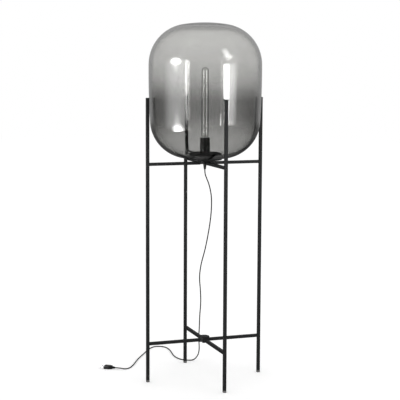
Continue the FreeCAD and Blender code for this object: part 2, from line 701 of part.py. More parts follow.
def bulb():
    """Tubular bulb on an E27 cap. Its levels count from its lower end."""
    wall, cement, start = d.cap_wall, d.cement_gap, d.thread_start
    root, crest = d.thread_root / 2, d.thread_crest / 2
    outside = thread_wave(start, root, crest) + [(root, d.cap_depth + d.cap_lip)]
    inside = [(radius - wall, level) for radius, level in reversed(outside)]
    turned("bulb_cap", outside + inside, bulb_bottom)
    pin, packed = d.tip_pin / 2, root - wall - cement
    turned("bulb_insulator", [
        (pin + d.thread_gap, d.tip_height), (d.insulator_face / 2, d.tip_height), (packed, start),
        (packed, d.insulator_top), (pin + d.thread_gap, d.insulator_top),
    ], bulb_bottom)
    turned("bulb_contact", [
        (0, 0), (d.tip_diameter / 2, 0), (d.tip_rim / 2, d.tip_height), (pin, d.tip_height),
        (pin, d.tip_depth), (0, d.tip_depth),
    ], bulb_bottom)
    radius, neck, glass = d.bulb_diameter / 2, d.bulb_neck / 2, d.bulb_glass
    foot, collar = d.cap_depth - d.neck_depth, d.cap_depth + d.collar_rise
    shoulder = d.cap_depth + d.shoulder_rise
    dome = d.bulb_length - radius
    turned("bulb_envelope", [
        (neck - glass, foot), (neck, foot), (neck, collar), (radius, shoulder), (radius, dome, radius),
        (0, d.bulb_length), (0, d.bulb_length - glass, glass - radius), (radius - glass, dome),
        (radius - glass, shoulder + glass / 2), (neck - glass, collar + glass / 2),
    ], bulb_bottom)
    flare, stem, rod = neck - glass - d.thread_gap * 2, d.stem_diameter / 2, d.rod_diameter / 2
    rod_top = d.filament_top - d.filament_diameter
    rim, press = foot + d.flare_height, d.filament_start - d.press_drop
    turned("bulb_stem", [
        (0, rim), (flare, rim), (flare, rim + d.flare_height), (d.flare_waist / 2, foot + d.flare_waist_rise),
        (stem, foot + d.flare_rise), (stem, press), (rod, press + d.press_taper), (rod, rod_top), (0, rod_top),
    ], bulb_bottom)
    leads = new_body("filament_leads")
    section = new_sketch(leads, "lead_section", "XY_Plane", d.cap_depth)
    for side in (-1, 1):
        circle(section, d.lead_diameter, d.filament_spread / 2 * side)
    pad(leads, section, d.filament_start - d.cap_depth)
    place(leads, bulb_bottom)
    half, low, high = d.filament_spread.value / 2, d.filament_start.value, d.filament_top.value
    shaped("filament", wire_solid([(half, 0, low), (half, 0, high), (-half, 0, high), (-half, 0, low)],
                                  d.filament_diameter.value), bulb_bottom)


# ---------------------------------------------------------------- wires and cord

def run_and_arc_path(points):
    """Straight runs joined by tangent arcs, each as large as its two runs allow."""
    edges, radii, last = [], [], points[0]
    for before, corner, after in zip(points, points[1:], points[2:]):
        into, out = corner - before, after - corner
        turn = into.getAngle(out)
        reach = ARC_SHARE * min(into.Length, out.Length)
        radii.append(reach / math.tan(turn / 2))
        start = corner - Vector(into).normalize() * reach
        end = corner + Vector(out).normalize() * reach
        inward = (Vector(out).normalize() - Vector(into).normalize()).normalize()
        depth = radii[-1] * (1 / math.cos(turn / 2) - 1)
        edges.append(Part.LineSegment(last, start).toShape())
        edges.append(Part.Arc(start, corner + inward * depth, end).toShape())
        last = end
    edges.append(Part.LineSegment(last, points[-1]).toShape())
    return Part.Wire(edges), radii


def wire_solid(points, diameter):
    """A round wire or cord along a path of runs and arcs."""
    path, radii = run_and_arc_path([Vector(*point) for point in points])
    first = Vector(*points[1]) - Vector(*points[0])
    profile = Part.Wire(Part.makeCircle(diameter / 2, Vector(*points[0]), first))
    solid = path.makePipeShell([profile], True, False)
    wanted = math.pi * diameter ** 2 / 4 * path.Length
    print(f"wire of {path.Length:.1f} mm, volume {solid.Volume / wanted:.4f} of its section's",
          "radii", [round(radius) for radius in radii])
    return solid


def shaped(label, shape, level=0):
    """A piece whose shape is made from the sheet's numbers."""
    piece = doc.addObject("Part::Feature", label)
    piece.Label = label
    piece.Shape = shape
    place(piece, level)
    parts[label] = piece
    return piece


def inner_wires():
    """Two insulated wires from the cord's end, through the threaded tube, to the terminals."""
    out = d.wire_spread.value / 2
    rise = (insert_bottom - d.wire_lift - sheath_end).value
    end = (d.terminal_offset - d.terminal_head / 2 - d.thread_gap).value
    for label, side in (("live_wire", -1), ("neutral_wire", 1)):
        points = [(out * side, 0, 0), (out * side, 0, rise), (end * side, 0, rise)]
        shaped(label, wire_solid(points, d.wire_diameter.value), sheath_end)


FLOOR_LINE = 2.4  # the cord's centreline where it lies on the floor
PLUG_LINE = d.plug_thickness.value / 2  # the plug's axis above the floor
ARC_SHARE = 0.45  # of a run, at each end, that an arc may take
ROUTE_LEG_RADIUS = 233.5  # the leg radius that the route's points are for; it widens with the legs

# The cord hangs from the upper hub, passes behind the lower cross, comes down on the floor
# behind it, swings back and round, and ends in its plug to the left.
CORD_ROUTE = [
    (0, 0, 832), (0, 0, 816), (6, -3, 798), (17, -5, 771), (27, -4, 727), (30, 3, 676), (28, 13, 620),
    (24, 28, 563), (18, 45, 503), (9, 66, 445), (9, 86, 388), (21, 104, 331), (31, 127, 273),
    (35, 152, 216), (43, 178, 161), (49, 203, 112), (57, 220, 78), (62, 232, 50), (61, 244, 24),
    (46, 252, FLOOR_LINE), (17, 257, FLOOR_LINE), (-4, 280, FLOOR_LINE), (-13, 318, FLOOR_LINE),
    (-11, 363, FLOOR_LINE), (-3, 408, FLOOR_LINE), (3, 456, FLOOR_LINE), (2, 492, FLOOR_LINE),
    (-10, 518, FLOOR_LINE), (-36, 529, FLOOR_LINE), (-62, 514, FLOOR_LINE), (-92, 473, FLOOR_LINE),
    (-126, 417, FLOOR_LINE), (-161, 364, FLOOR_LINE), (-190, 312, FLOOR_LINE), (-208, 275, FLOOR_LINE),
    (-227, 243, FLOOR_LINE), (-243, 218, FLOOR_LINE), (-266, 204, FLOOR_LINE), (-288, 210, PLUG_LINE),
    (-305, 223, PLUG_LINE),
]


def strain_relief():
    tip, top, lip = d.relief_tip / 2, d.relief_top / 2, d.relief_lip
    bore, stud = d.cord_diameter / 2 + d.thread_gap, d.nipple_diameter / 2
    length = d.relief_length
    turned("strain_relief", [
        (bore, 0), (tip - lip, 0, lip), (tip, lip), (top, length - d.relief_flange), (top, length),
        (stud, length), (stud, length + d.relief_stud), (bore, length + d.relief_stud),
    ], cord_exit)
    sheath = new_body("cord_lead_in")
    section = new_sketch(sheath, "lead_in_section", "XY_Plane")
    circle(section, d.cord_diameter)
    pad(sheath, section, sheath_end - cord_exit)
    place(sheath, cord_exit)


def cord_route():
    spread = leg_radius.value / ROUTE_LEG_RADIUS
    return [(x * spread, y * spread, level) for x, y, level in CORD_ROUTE]


def cord():
    shaped("cord", wire_solid(cord_route(), d.cord_diameter.value))


def plug():
    """Two-pin flat plug lying on the floor at the cord's end, its pins away from the cord."""
    tail, nose = [Vector(*point) for point in cord_route()[-2:]]
    heading = math.degrees(math.atan2(nose.y - tail.y, nose.x - tail.x))
    start, end = d.plug_sleeve, d.plug_sleeve + d.plug_length
    neck, width, flare = d.plug_neck / 2, d.plug_width / 2, d.plug_sleeve + d.plug_taper
    block = new_body("plug_body")
    plan = new_sketch(block, "plug_plan", "XY_Plane", -d.plug_thickness / 2)
    outline(plan, [(start, -neck), (flare, -width), (end, -width), (end, width), (flare, width), (start, neck)])
    slab = pad(block, plan, d.plug_thickness)
    doc.recompute()
    rounded = block.newObject("PartDesign::Fillet", "Rounding")
    rounded.Base = (slab, [f"Edge{i}" for i in range(1, len(slab.Shape.Edges) + 1)])
    bind(rounded, "Radius", d.plug_edge)
    block.Tip = rounded
    sleeve = new_body("plug_sleeve")
    section = new_sketch(sleeve, "sleeve_section", "XY_Plane")
    outline(section, [
        (0, 0), (start, 0), (start, d.sleeve_end / 2), (d.sleeve_lip, d.relief_tip / 2), (0, d.sleeve_tip / 2),
    ])
    turn = sleeve.newObject("PartDesign::Revolution", "Revolution")
    turn.Profile = section
    turn.ReferenceAxis = (section, ["H_Axis"])
    turn.Angle = 360
    pins = new_body("plug_pins")
    section = new_sketch(pins, "pin_section", "YZ_Plane", end)
    for side in (-1, 1):
        circle(section, d.pin_diameter, d.pin_spacing / 2 * side)
    pad(pins, section, d.pin_length)
    for piece in (block, sleeve, pins):
        place(piece, PLUG_LINE, nose.x, nose.y, heading)


def check_and_export():
    """Stops if any object or shape is unsound, then writes a file for each piece."""
    doc.recompute()
    unsound = [o.Label for o in doc.Objects if {"Invalid", "Error"} & set(o.State)]
    unsound += [label for label, piece in parts.items()
                if piece.Shape.isNull() or not piece.Shape.isValid() or not piece.Shape.Solids]
    if unsound:
        raise RuntimeError(f"unsound objects: {unsound}")
    os.makedirs("parts", exist_ok=True)
    for label, piece in parts.items():
        piece.Shape.exportStep(f"parts/{label}.step")
        print(f"{label}: {len(piece.Shape.Solids)} solid(s), {piece.Shape.Volume / 1000:.2f} cm3")


frame()
centre_stack()
shade()
lampholder()
screw_shell()
bulb()
inner_wires()
strain_relief()
cord()
plug()
check_and_export()
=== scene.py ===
import bpy
import json
import math
from mathutils import Matrix, Vector


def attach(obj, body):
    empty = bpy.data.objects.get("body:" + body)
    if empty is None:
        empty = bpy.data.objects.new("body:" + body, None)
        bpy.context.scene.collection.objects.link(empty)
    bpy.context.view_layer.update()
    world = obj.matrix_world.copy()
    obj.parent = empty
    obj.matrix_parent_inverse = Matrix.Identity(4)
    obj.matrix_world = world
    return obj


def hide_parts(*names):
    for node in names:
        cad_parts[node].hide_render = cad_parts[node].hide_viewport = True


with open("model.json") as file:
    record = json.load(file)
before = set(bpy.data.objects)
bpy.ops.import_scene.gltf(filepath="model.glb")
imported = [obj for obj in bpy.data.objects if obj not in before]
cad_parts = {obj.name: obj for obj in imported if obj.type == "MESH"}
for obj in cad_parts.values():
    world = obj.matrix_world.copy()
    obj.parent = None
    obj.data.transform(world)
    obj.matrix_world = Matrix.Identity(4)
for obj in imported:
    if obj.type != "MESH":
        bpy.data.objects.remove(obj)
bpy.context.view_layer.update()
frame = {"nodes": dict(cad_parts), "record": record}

bpy.ops.object.select_all(action="DESELECT")
mm = 0.001


# Camera and settings of the picture; lengths are in metres and angles in radians

photoCamera = {
    "distance": 4.5916,      # from the lamp's axis
    "height": 1.2693,
    "azimuth": -0.3435,      # round the lamp, from -Y towards -X
    "pan": 0.0040,
    "pitch": 0.1210,         # downwards
    "roll": 0.0043,
    "lens": 106.19,
    "nearest": 0.05,
    "farthest": 1000,
}


def makeCamera(view):
    azimuth, pitch, distance = view["azimuth"], view["pitch"], view["distance"]
    yaw = azimuth + view["pan"]
    where = Vector((distance * math.sin(azimuth), -distance * math.cos(azimuth), view["height"]))
    ahead = Vector((-math.sin(yaw) * math.cos(pitch), math.cos(yaw) * math.cos(pitch), -math.sin(pitch)))
    right = Vector((math.cos(yaw), math.sin(yaw), 0))
    up = right.cross(ahead)
    rolled = Matrix.Rotation(-view["roll"], 3, ahead)
    right, up = rolled @ right, rolled @ up
    bpy.ops.object.camera_add(location=(0, 0, 0))
    camera = bpy.context.object
    camera.name = "photoCamera"
    camera.data.lens = view["lens"]
    camera.data.clip_start = view["nearest"]
    camera.data.clip_end = view["farthest"]
    axes = Matrix((right, up, -ahead)).transposed().to_4x4()
    camera.matrix_world = Matrix.Translation(where) @ axes
    bpy.context.scene.camera = camera
    bpy.context.scene.view_settings.view_transform = "Standard"
    print("camera in place")


# Materials: a number socket that takes part in sums, and one method for all other nodes

class Amount:
    def __init__(self, nodes, socket):
        self.nodes, self.socket = nodes, socket

    def joined(self, operation, first, second):
        return self.nodes.function(operation, first, second)

    def __add__(self, other):
        return self.joined("ADD", self, other)

    def __sub__(self, other):
        return self.joined("SUBTRACT", self, other)

    def __rsub__(self, other):
        return self.joined("SUBTRACT", other, self)

    def __mul__(self, other):
        return self.joined("MULTIPLY", self, other)

    def __pow__(self, other):
        return self.joined("POWER", self, other)

    __radd__ = __add__
    __rmul__ = __mul__


class Nodes:                 # a node tree: of a material, a light or the sky
    def __init__(self, owner):
        owner.use_nodes = True
        self.tree = owner.node_tree

    def feed(self, socket, value):
        if isinstance(value, Amount):
            value = value.socket
        if isinstance(value, bpy.types.NodeSocket):
            self.tree.links.new(value, socket)
        else:
            socket.default_value = value

    def node(self, kind, settings=None, sockets=None):
        made = self.tree.nodes.new(kind)
        for name, setting in (settings or {}).items():
            if name == "stops":
                self.stops(made.color_ramp, setting)
            else:
                setattr(made, name, setting)
        for name, value in (sockets or {}).items():
            self.feed(made.inputs[name], value)
        return made

    def stops(self, ramp, stops):
        while len(ramp.elements) < len(stops):
            ramp.elements.new(0.5)
        for element, (position, colour) in zip(ramp.elements, stops):
            element.position = position
            element.color = (*colour, 1)

    def amount(self, node, output=0):
        return Amount(self, node.outputs[output])

    def function(self, operation, *values):
        return self.amount(self.node("ShaderNodeMath", {"operation": operation}, dict(enumerate(values))))


class Recipe(Nodes):         # the nodes of one material
    def __init__(self, name):
        self.material = bpy.data.materials.new(name)
        super().__init__(self.material)
        self.shader = self.tree.nodes["Principled BSDF"]
        self.place = self.node("ShaderNodeTexCoord").outputs["Object"]

    def along(self, axis):   # Object X, Y or Z in metres
        return self.amount(self.node("ShaderNodeSeparateXYZ", None, {"Vector": self.place}), axis)

    def stretched(self, scale):
        return self.node("ShaderNodeMapping", None, {"Vector": self.place, "Scale": scale}).outputs["Vector"]

    def noise(self, grain, vector=None):     # the grain is the noise's scale, detail and roughness
        scale, detail, roughness = grain
        sockets = {"Vector": vector or self.place, "Scale": scale, "Detail": detail, "Roughness": roughness}
        return self.amount(self.node("ShaderNodeTexNoise", None, sockets))

    def ramp(self, amount, stops):
        return self.node("ShaderNodeValToRGB", {"stops": stops}, {"Fac": amount}).outputs["Color"]

    def mixed(self, factor, first, second, blend="MIX"):
        settings = {"data_type": "RGBA", "blend_type": blend}
        return self.node("ShaderNodeMix", settings, {0: factor, 6: first, 7: second}).outputs[2]

    def facing(self):        # 0 where the surface faces the eye, 1 at its outline
        return self.amount(self.node("ShaderNodeLayerWeight", None, {"Blend": 0.5}), "Facing")

    def bump(self, height, relief):          # the relief is the bump's strength, and its depth in metres
        strength, depth = relief
        made = self.node("ShaderNodeBump", None, {"Height": height, "Strength": strength, "Distance": depth})
        self.feed(self.shader.inputs["Normal"], made.outputs["Normal"])

    def finish(self, **sockets):
        names = {"colour": "Base Color", "roughness": "Roughness", "metallic": "Metallic", "ior": "IOR",
                 "specular": "Specular IOR Level", "transmission": "Transmission Weight"}
        for name, value in sockets.items():
            self.feed(self.shader.inputs[names[name]], value)
        return self.material


def grey(value, warmth=0.0):
    return (value * (1 + warmth), value, value * (1 - warmth), 1)


def greys(rows):             # a ramp's stops, from places and brightnesses
    return [(place, (tone, tone, tone)) for place, tone in rows]


# In the finishes, swing is how far the pattern moves the roughness

powderCoat = {
    "dark": 0.012, "light": 0.021, "warmth": -0.03, "sheen": 0.11, "roughness": 0.50,
    "mottle": (45, 4, 0.6), "mottleShare": 0.6, "mottleSwing": 0.08,
    "grain": (2600, 3, 0.55), "grainShare": 0.4, "grainSwing": 0.22,
    "peel": (910, 2, 0.5), "peelShare": 0.8, "relief": (0.25, 0.00006),
}


def powderCoatFinish(look):
    coat = Recipe("powderCoat")
    mottle = coat.noise(look["mottle"])
    grain = coat.noise(look["grain"])
    tone = mottle * look["mottleShare"] + grain * look["grainShare"]
    colour = coat.mixed(tone, grey(look["dark"], look["warmth"]), grey(look["light"], look["warmth"]))
    coat.bump(grain + coat.noise(look["peel"]) * look["peelShare"], look["relief"])
    roughness = look["roughness"] + (grain - 0.5) * look["grainSwing"] + (mottle - 0.5) * look["mottleSwing"]
    return coat.finish(colour=colour, roughness=roughness, specular=look["sheen"])


footPlastic = {
    "dark": 0.10, "light": 0.15, "warmth": 0.02, "grain": (1800, 3, 0.6), "relief": (0.35, 0.00005),
    "roughness": 0.5, "swing": 0.2, "bottomDarkRate": 120, "bottomDarkening": [(0.0, 0.6), (0.25, 1), (1.0, 1)],
}


def footPlasticFinish(look):             # darker where it stands on the floor
    plastic = Recipe("footPlastic")
    grain = plastic.noise(look["grain"])
    # darker towards its bottom edge, where it meets the floor
    darkerAtBottom = plastic.ramp(plastic.along("Z") * look["bottomDarkRate"], greys(look["bottomDarkening"]))
    clean = plastic.mixed(grain, grey(look["dark"], look["warmth"]), grey(look["light"], look["warmth"]))
    plastic.bump(grain, look["relief"])
    roughness = look["roughness"] + (grain - 0.5) * look["swing"]
    return plastic.finish(colour=plastic.mixed(1.0, clean, darkerAtBottom, "MULTIPLY"), roughness=roughness)


oxideSteel = {
    "dark": 0.018, "darkWarmth": -0.05, "light": 0.045, "lightWarmth": 0.03, "cloud": (260, 4, 0.65),
    "grain": (3000, 2, 0.5), "relief": (0.25, 0.00003), "metallic": 0.75, "roughness": 0.38, "swing": 0.25,
}


def oxideSteelFinish(look):
    steel = Recipe("oxideSteel")
    cloud = steel.noise(look["cloud"])
    dark, light = grey(look["dark"], look["darkWarmth"]), grey(look["light"], look["lightWarmth"])
    steel.bump(steel.noise(look["grain"]), look["relief"])
    colour = steel.mixed(cloud, dark, light)
    roughness = look["roughness"] + (cloud - 0.5) * look["swing"]
    return steel.finish(colour=colour, metallic=look["metallic"], roughness=roughness)


platedSteel = {
    "dark": (0.50, 0.50, 0.49, 1), "light": (0.66, 0.66, 0.64, 1), "pitch": 1.0 * mm, "ridgeShare": 0.5,
    "cloud": (420, 4, 0.7), "cloudShare": 0.3, "relief": (0.6, 0.0003), "roughness": 0.24, "swing": 0.2,
}


def platedSteelFinish(look):             # with the fine thread as relief
    plating = Recipe("platedSteel")
    cloud = plating.noise(look["cloud"])
    ridge = plating.function("SINE", plating.along("Z") * (2 * math.pi / look["pitch"]))
    plating.bump(ridge * look["ridgeShare"] + cloud * look["cloudShare"], look["relief"])
    colour = plating.mixed(cloud, look["dark"], look["light"])
    return plating.finish(colour=colour, metallic=1.0, roughness=look["roughness"] + cloud * look["swing"])


seatRubber = {
    "dark": 0.012, "light": 0.022, "grain": (1500, 4, 0.7), "relief": (0.4, 0.0001),
    "roughness": 0.75, "swing": 0.3,
}


def seatRubberFinish(look):
    rubber = Recipe("seatRubber")
    grain = rubber.noise(look["grain"])
    rubber.bump(grain, look["relief"])
    colour = rubber.mixed(grain, grey(look["dark"]), grey(look["light"]))
    return rubber.finish(colour=colour, roughness=look["roughness"] + (grain - 0.5) * look["swing"])


holderBlack = {
    "dark": 0.034, "light": 0.046, "grain": (1900, 3, 0.55), "grainShare": 0.5, "cloud": (60, 3, 0.5),
    "cloudShare": 0.5, "relief": (0.3, 0.00004), "roughness": 0.36, "swing": 0.18,
}


def holderBlackFinish(look):
    black = Recipe("holderBlack")
    grain = black.noise(look["grain"])
    cloud = black.noise(look["cloud"])
    black.bump(grain, look["relief"])
    tone = grain * look["grainShare"] + cloud * look["cloudShare"]
    colour = black.mixed(tone, grey(look["dark"]), grey(look["light"]))
    return black.finish(colour=colour, roughness=look["roughness"] + (cloud - 0.5) * look["swing"])


glazedCeramic = {
    "dark": (0.70, 0.68, 0.63, 1), "light": (0.84, 0.83, 0.79, 1), "cloud": (300, 4, 0.6),
    "ripple": (900, 3, 0.5), "relief": (0.3, 0.00008), "roughness": 0.28, "swing": 0.15,
}


def glazedCeramicFinish(look):
    ceramic = Recipe("glazedCeramic")
    cloud = ceramic.noise(look["cloud"])
    ceramic.bump(ceramic.noise(look["ripple"]), look["relief"])
    colour = ceramic.mixed(cloud, look["dark"], look["light"])
    return ceramic.finish(colour=colour, roughness=look["roughness"] + cloud * look["swing"])


contactBrass = {
    "dark": (0.55, 0.36, 0.12, 1), "light": (0.78, 0.57, 0.25, 1), "rubbed": (500, 4, 0.7),
    "stretch": (1, 1, 0.15), "relief": (0.2, 0.00005), "roughness": 0.2, "swing": 0.25,
}
nickelCap = {
    "dark": (0.52, 0.53, 0.54, 1), "light": (0.70, 0.70, 0.69, 1), "rubbed": (650, 4, 0.7),
    "stretch": (1, 1, 0.2), "relief": (0.2, 0.00004), "roughness": 0.18, "swing": 0.22,
}


def rubbedMetalFinish(name, look):       # with upright rubbing marks
    metal = Recipe(name)
    rubbed = metal.noise(look["rubbed"], metal.stretched(look["stretch"]))
    metal.bump(rubbed, look["relief"])
    colour = metal.mixed(rubbed, look["dark"], look["light"])
    return metal.finish(colour=colour, metallic=1.0, roughness=look["roughness"] + rubbed * look["swing"])


blackGlass = {
    "dark": 0.006, "light": 0.014, "cloud": (700, 4, 0.5), "relief": (0.3, 0.00008),
    "roughness": 0.08, "swing": 0.12,
}


def blackGlassFinish(look):
    glass = Recipe("blackGlass")
    cloud = glass.noise(look["cloud"])
    glass.bump(cloud, look["relief"])
    colour = glass.mixed(cloud, grey(look["dark"]), grey(look["light"]))
    return glass.finish(colour=colour, roughness=look["roughness"] + cloud * look["swing"])


solderTin = {
    "dark": (0.42, 0.42, 0.41, 1), "light": (0.60, 0.60, 0.58, 1), "lumps": (900, 3, 0.6),
    "relief": (0.6, 0.0002), "roughness": 0.3, "swing": 0.2,
}


def solderTinFinish(look):
    solder = Recipe("solderTin")
    lumps = solder.noise(look["lumps"])
    solder.bump(lumps, look["relief"])
    colour = solder.mixed(lumps, look["dark"], look["light"])
    return solder.finish(colour=colour, metallic=1.0, roughness=look["roughness"] + lumps * look["swing"])


tungsten = {
    "dark": (0.16, 0.15, 0.14, 1), "light": (0.36, 0.34, 0.31, 1), "coil": 0.9 * mm, "relief": (0.8, 0.0002),
    "roughness": 0.3, "swing": 0.2,
}


def tungstenFinish(look):                # with the turns of the coil as relief
    wire = Recipe("tungsten")
    wound = wire.function("SINE", wire.along("Z") * (2 * math.pi / look["coil"]))
    wire.bump(wound, look["relief"])
    # the colour follows the turns too: painted shade between the turns, painted highlight on them
    tone = wound * 0.5 + 0.5
    colour = wire.mixed(tone, look["dark"], look["light"])
    return wire.finish(colour=colour, metallic=1.0, roughness=look["roughness"] + tone * look["swing"])


wireSkin = {
    "blue": [(0.01, 0.05, 0.28, 1), (0.02, 0.09, 0.42, 1)],
    "brown": [(0.07, 0.025, 0.01, 1), (0.13, 0.05, 0.02, 1)],
    "cloud": (800, 3, 0.5), "relief": (0.2, 0.00005), "roughness": 0.38, "swing": 0.15,
}


def wireSkinFinish(name, look, colours):
    skin = Recipe(name)
    cloud = skin.noise(look["cloud"])
    skin.bump(cloud, look["relief"])
    roughness = look["roughness"] + cloud * look["swing"]
    return skin.finish(colour=skin.mixed(cloud, *colours), roughness=roughness)


cordSkin = {
    "dark": 0.0085, "light": 0.014, "sheen": 0.2, "roughness": 0.4, "swing": 0.3, "relief": (0.35, 0.00007),
    "scuffs": (120, 5, 0.7), "scuffTone": 0.7, "scuffRelief": 0.4,
    "grain": (2400, 3, 0.6), "grainTone": 0.3, "grainRelief": 0.6,
}


def cordSkinFinish(look):
    skin = Recipe("cordSkin")
    scuffs = skin.noise(look["scuffs"])
    grain = skin.noise(look["grain"])
    skin.bump(grain * look["grainRelief"] + scuffs * look["scuffRelief"], look["relief"])
    tone = scuffs * look["scuffTone"] + grain * look["grainTone"]
    roughness = look["roughness"] + (scuffs - 0.5) * look["swing"]
    colour = skin.mixed(tone, grey(look["dark"]), grey(look["light"]))
    return skin.finish(colour=colour, roughness=roughness, specular=look["sheen"])


plugPin = {
    "along": (-0.7945, 0.6072),          # the way the pins point, on the floor
    "bareFrom": 0.4105,                  # how far along it the bare metal begins
    "insulation": 0.012, "dark": (0.58, 0.58, 0.59, 1), "light": (0.72, 0.73, 0.74, 1),
    "rubbed": (900, 4, 0.7), "relief": (0.15, 0.00004), "roughness": 0.42, "bareSmoother": 0.2, "swing": 0.12,
}


def plugPinFinish(look):                 # insulated near the body, bare metal at the tip
    pin = Recipe("plugPin")
    reach = pin.along("X") * look["along"][0] + pin.along("Y") * look["along"][1]
    bare = pin.function("GREATER_THAN", reach, look["bareFrom"])
    rubbed = pin.noise(look["rubbed"])
    pin.bump(rubbed, look["relief"])
    colour = pin.mixed(bare, grey(look["insulation"]), pin.mixed(rubbed, look["dark"], look["light"]))
    roughness = look["roughness"] - bare * look["bareSmoother"] + rubbed * look["swing"]
    return pin.finish(colour=colour, metallic=bare, roughness=roughness)


smokedGlass = {
    "foot": 0.875, "top": 1.400, "tint": (1.002, 1.0, 0.984), "ior": 1.5,
    "smoke": [                           # height, and what the glass lets through
        (0.875, 0.70), (0.90, 0.64), (0.93, 0.60), (0.96, 0.59), (1.00, 0.535), (1.04, 0.455),
        (1.10, 0.45), (1.118, 0.50), (1.138, 0.555), (1.157, 0.62), (1.197, 0.70), (1.25, 0.765),
        (1.33, 0.83), (1.40, 0.86),
    ],
    "depth": [                           # height, and how much darker a slanting ray is
        (0.89, 0.0), (0.94, 0.2), (1.00, 0.9), (1.10, 1.0), (1.14, 0.65), (1.19, 0.25), (1.25, 0.1),
        (1.40, 0.05),
    ],
    "slant": 4.4,                        # how soon a ray counts as slanting
    # the rim ramp is painted shade, darkening the glass towards its outline
    "rim": [(0.0, 1), (0.70, 1), (0.90, 0.42), (1.0, 0.42)],     # darkening towards the outline
    "outlineShadeRise": 4,                        # it is full from a quarter of the height up
    "drift": (7, 3, 0.5), "driftStretch": (1, 1, 0.7), "driftSwing": 0.06,
    "cloud": (14, 4, 0.55), "cloudStretch": (1, 1, 1.6), "cloudDepth": 0.10,
    "wave": (9, 2, 0.4), "relief": (0.08, 0.0015),
}


def smokedGlassFinish(look):
    glass = Recipe("smokedGlass")
    foot, tall = look["foot"], look["top"] - look["foot"]
    drift = glass.noise(look["drift"], glass.stretched(look["driftStretch"]))
    level = (glass.along("Z") - foot) * (1 / tall) + (drift - 0.5) * look["driftSwing"]
    stops = [((z - foot) / tall, [tone * share for share in look["tint"]]) for z, tone in look["smoke"]]
    smoke = glass.ramp(level, stops)
    depths = glass.ramp(level, greys(((z - foot) / tall, tone) for z, tone in look["depth"]))
    smoky = glass.amount(glass.node("ShaderNodeRGBToBW", None, {"Color": depths}))
    facing = glass.facing()
    slanting = glass.function("MINIMUM", facing * facing * look["slant"], 1.0) * smoky
    # a slanting ray crosses more smoke
    deep = glass.mixed(slanting, smoke, glass.mixed(1.0, smoke, smoke, "MULTIPLY"))
    # painted shade towards the outline, full from a quarter of the height up
    outlineShaded = glass.mixed(1.0, deep, glass.ramp(facing, greys(look["rim"])), "MULTIPLY")
    deep = glass.mixed(glass.function("MINIMUM", level * look["outlineShadeRise"], 1.0), deep, outlineShaded)
    cloud = glass.noise(look["cloud"], glass.stretched(look["cloudStretch"]))
    veil = glass.mixed(cloud, grey(1 - look["cloudDepth"]), grey(1.0))
    glass.bump(glass.noise(look["wave"]), look["relief"])
    colour = glass.mixed(1.0, deep, veil, "MULTIPLY")
    return glass.finish(colour=colour, transmission=1.0, ior=look["ior"], roughness=0.0)


clearGlass = {
    "dark": (0.93, 0.94, 0.93, 1), "light": (0.985, 0.985, 0.98, 1), "cloud": (40, 3, 0.5), "ior": 1.6,
    "outline": [(0.0, 1), (0.42, 1), (0.75, 0.30), (1.0, 0.30)],
    "wave": (70, 2, 0.5), "relief": (0.2, 0.0003),
}


def clearGlassFinish(look):              # darkened at its outline, where the wall is seen on edge
    glass = Recipe("clearGlass")
    # painted shade: the glass colour is darkened towards its outline
    outline = glass.ramp(glass.facing(), greys(look["outline"]))
    glass.bump(glass.noise(look["wave"]), look["relief"])
    clear = glass.mixed(glass.noise(look["cloud"]), look["dark"], look["light"])
    colour = glass.mixed(1.0, clear, outline, "MULTIPLY")
    return glass.finish(colour=colour, transmission=1.0, ior=look["ior"], roughness=0.0)


def paint(piece, material):
    if piece.material_slots:
        for slot in piece.material_slots:
            slot.material = material
    else:
        piece.data.materials.append(material)


def makeFinishes():
    made = {
        "frame_paint": powderCoatFinish(powderCoat),
        "foot_plastic": footPlasticFinish(footPlastic),
        "black_steel": oxideSteelFinish(oxideSteel),
        "seat_rubber": seatRubberFinish(seatRubber),
        "plated_steel": platedSteelFinish(platedSteel),
        "smoked_glass": smokedGlassFinish(smokedGlass),
        "holder_black": holderBlackFinish(holderBlack),
        "white_ceramic": glazedCeramicFinish(glazedCeramic),
        "contact_brass": rubbedMetalFinish("contactBrass", contactBrass),
        "bulb_black_glass": blackGlassFinish(blackGlass),
        "contact_tin": solderTinFinish(solderTin),
        "bulb_clear_glass": clearGlassFinish(clearGlass),
        "filament_metal": tungstenFinish(tungsten),
        "wire_blue": wireSkinFinish("wireBlue", wireSkin, wireSkin["blue"]),
        "wire_brown": wireSkinFinish("wireBrown", wireSkin, wireSkin["brown"]),
        "cord_black": cordSkinFinish(cordSkin),
    }
    print("finishes made:", len(made))
    return made


def dressNodes(finishes, ownFinishes):   # a CAD node gets its own finish, or else the one of its slot
    slots = {part["node"]: part["material_slot"] for part in frame["record"]["subparts"]}
    for name, node in frame["nodes"].items():
        paint(node, ownFinishes.get(name) or finishes[slots[name]])
    print("CAD nodes dressed:", len(frame["nodes"]))


# Shapes turned on a lathe: a plane is merged to one point, drawn out along the section and spun

